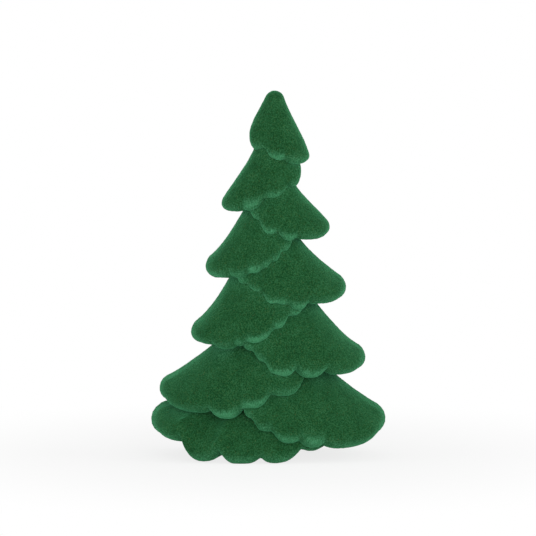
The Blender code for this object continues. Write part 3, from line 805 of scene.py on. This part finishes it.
def ring_mesh(name, rings):
    """A closed piece from rings of the same number of points."""
    count = len(rings[0])
    coords = [point for ring in rings for point in ring]
    faces = [(row * count + k, row * count + (k + 1) % count, (row + 1) * count + (k + 1) % count,
              (row + 1) * count + k) for row in range(len(rings) - 1) for k in range(count)]
    last = (len(rings) - 1) * count
    faces += [tuple(range(count))[::-1], tuple(last + k for k in range(count))]
    mesh = bpy.data.meshes.new(name)
    mesh.from_pydata(coords, [], faces)
    shape = bmesh.new()
    shape.from_mesh(mesh)
    bmesh.ops.recalc_face_normals(shape, faces=shape.faces)
    shape.to_mesh(mesh)
    shape.free()
    return mesh


def felt_mesh(name):
    """The oval of felt under the plate, with softly rounded cut edges."""
    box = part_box("felt_cover")
    low, high = box[0][2], box[1][2]
    shares = np.linspace(*FELT_RING_SHARES, FELT_RINGS)
    rings = [oval(box, share, 0, low) for share in shares]
    for turn in np.linspace(-math.pi / 2, math.pi / 2, FELT_EDGE_RINGS):
        rings.append(oval(box, 1, FELT_EDGE * (math.cos(turn) - 1),
                          (low + high) / 2 + (high - low) / 2 * math.sin(turn)))
    rings += [oval(box, share, 0, high) for share in shares[::-1]]
    return ring_mesh(name, rings)


def slab_cutter(name, node, low, high):
    """An oval cutter one gap wider than a node's box."""
    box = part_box(node)
    return link(name, ring_mesh(name, [oval(box, 1, GAP, low), oval(box, 1, GAP, high)]))


def seat_cutters(pile):
    """Swollen copies of the hoods, each to cut its seat in the hoods above it."""
    seats = {}
    for hood in HOODS[1:]:
        seat = link(hood.name + "_seat", hood_mesh(hood, hood.name + "_seat", SEAT_SPACING))
        coat(seat, pile, GAP + PILE + DENT_HEIGHT / 2)
        settle(seat)
        seats[hood.name] = seat
    return seats


def foot_cutters():
    """The dowel's bore, then the pockets of the plate and the ballast."""
    plate_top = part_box("base_plate")[1][2]
    felt_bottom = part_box("felt_cover")[0][2]
    ballast_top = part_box("ballast_weight")[1][2]
    return [slab_cutter("dowel_bore", "centre_dowel", plate_top - CUTTER_OVERRUN, dowel_high[2] + GAP),
            slab_cutter("plate_pocket", "base_plate", felt_bottom - CUTTER_OVERRUN, plate_top + GAP),
            slab_cutter("ballast_pocket", "ballast_weight", plate_top, ballast_top + GAP)]


def flocked_hood(hood, pile, flock, seats, pockets):
    """One hood with its pile, hollowed for the hoods below it and for the foot."""
    name = hood.name + "_flocked"
    piece = link(name, hood_mesh(hood, name, SKIN_SPACING), flock)
    coat(piece, pile, PILE, DENT_HEIGHT, CLUMP_HEIGHT, flock)
    lower_hoods = HOODS[HOODS.index(hood) + 1:]
    cutters = [seats[lower.name] for lower in lower_hoods if seats and lower.crown > hood.lip - LIP_ROUND]
    cutters += pockets if hood is BASE else pockets[:1]
    for cutter in cutters:
        cut = piece.modifiers.new(cutter.name, "BOOLEAN")
        cut.operation = "DIFFERENCE"
        cut.solver = "MANIFOLD"
        cut.object = cutter
    settle(piece)
    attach(piece, "root")
    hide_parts(hood.name)


def felt_sheet(pile):
    """The felt under the plate, a thin oval with softly matted faces."""
    finish = felt_material()
    felt = link("felt_cover_sheet", felt_mesh("felt_cover_sheet"), finish)
    coat(felt, pile, 0.0, clump=FELT_MATTING, finish=finish)
    settle(felt)
    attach(felt, "root")
    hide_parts("felt_cover")


# Stage, light and camera

def stage_material():
    """White board that keeps the tree's shadow and fades to plain white away from it."""
    made, wiring, shader = new_material("studio_white")
    shader.inputs["Base Color"].default_value = (*FLOOR_WHITE, 1.0)
    shader.inputs["Roughness"].default_value = 0.9
    shader.inputs["Specular IOR Level"].default_value = 0.1
    glow = wiring.nodes.new("ShaderNodeEmission")
    reach = wiring.nodes.new("ShaderNodeVectorMath")
    reach.operation = "LENGTH"
    wiring.links.new(wiring.object_place(), reach.inputs[0])
    fade = wiring.nodes.new("ShaderNodeMapRange")
    fade.interpolation_type = "SMOOTHSTEP"
    fade.inputs["From Min"].default_value, fade.inputs["From Max"].default_value = FLOOR_GLOW_REACHES
    fade.inputs["To Min"].default_value = FLOOR_GLOW_NEAR
    fade.inputs["To Max"].default_value = 1.0
    wiring.links.new(reach.outputs["Value"], fade.inputs["Value"])
    factor = wiring.times(fade.outputs["Result"], wiring.seen_directly())
    wiring.blend(factor, shader.outputs[0], glow.outputs[0], wiring.nodes["Material Output"])
    return made


def studio_floor():
    corners = [(x * FLOOR_REACH, y * FLOOR_REACH, 0) for x, y in ((-1, -1), (1, -1), (1, 1), (-1, 1))]
    mesh = bpy.data.meshes.new("studio_floor")
    mesh.from_pydata(corners, [], [(0, 1, 2, 3)])
    link("studio_floor", mesh, stage_material())


def area_light(name, place, size, power):
    lamp = bpy.data.lights.new(name, "AREA")
    lamp.shape = "DISK"
    lamp.size = size
    lamp.energy = power
    made = link(name, lamp)
    made.location = place
    made.rotation_euler = (Vector(LIGHT_TARGET) - Vector(place)).to_track_quat("-Z", "Y").to_euler()


def studio_world():
    """White where the camera looks, and a softer fill for the rest of the light."""
    world = bpy.data.worlds.new("studio")
    bpy.context.scene.world = world
    world.use_nodes = True
    wiring = Wiring(world.node_tree)
    backdrop = wiring.nodes["Background"]
    fill = wiring.nodes.new("ShaderNodeBackground")
    for background, strength in ((backdrop, 1.0), (fill, WORLD_FILL)):
        background.inputs["Color"].default_value = (1, 1, 1, 1)
        background.inputs["Strength"].default_value = strength
    wiring.blend(wiring.seen_directly(), fill.outputs[0], backdrop.outputs[0], wiring.nodes["World Output"])


def studio_camera():
    lens = bpy.data.cameras.new("studio_camera")
    lens.lens = LENS_MM
    lens.sensor_width = SENSOR_MM
    lens.clip_end = CAMERA_FAR
    camera = link("studio_camera", lens)
    bpy.context.scene.camera = camera
    back = Vector((0, -math.cos(CAMERA_TILT), math.sin(CAMERA_TILT)))
    camera.location = Vector(CAMERA_TARGET) + back * (FRAME_WIDTH * LENS_MM / SENSOR_MM)
    camera.rotation_euler = (-back).to_track_quat("-Z", "Y").to_euler()


# Finishes for the hidden pieces, whose solids are used as they are

zinc = zinc_material()
for node, finish in (("centre_dowel", wood_material()), ("base_plate", board_material()),
                     ("ballast_weight", zinc), ("dowel_screw", zinc)):
    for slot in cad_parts[node].material_slots:
        slot.material = finish

# The flocked hoods, hollowed by the seats and pockets, and the felt

flock = flock_material()
pile = pile_tree()
seats = seat_cutters(pile)
pockets = foot_cutters()
for hood in HOODS:
    flocked_hood(hood, pile, flock, seats, pockets)
for cutter in [*seats.values(), *pockets]:
    bpy.data.objects.remove(cutter, do_unlink=True)
felt_sheet(pile)

studio_floor()
area_light("key", (0.7, -2.4, 0.9), size=1.4, power=16.9)
area_light("fill", (-0.6, -2.4, 0.12), size=1.2, power=20)
area_light("right_rim", (1.7, -0.2, 0.9), size=1.3, power=9.5)
area_light("left_rim", (-1.7, -0.2, 0.7), size=1.3, power=6)
studio_world()
studio_camera()
bpy.context.scene.view_settings.view_transform = "Standard"
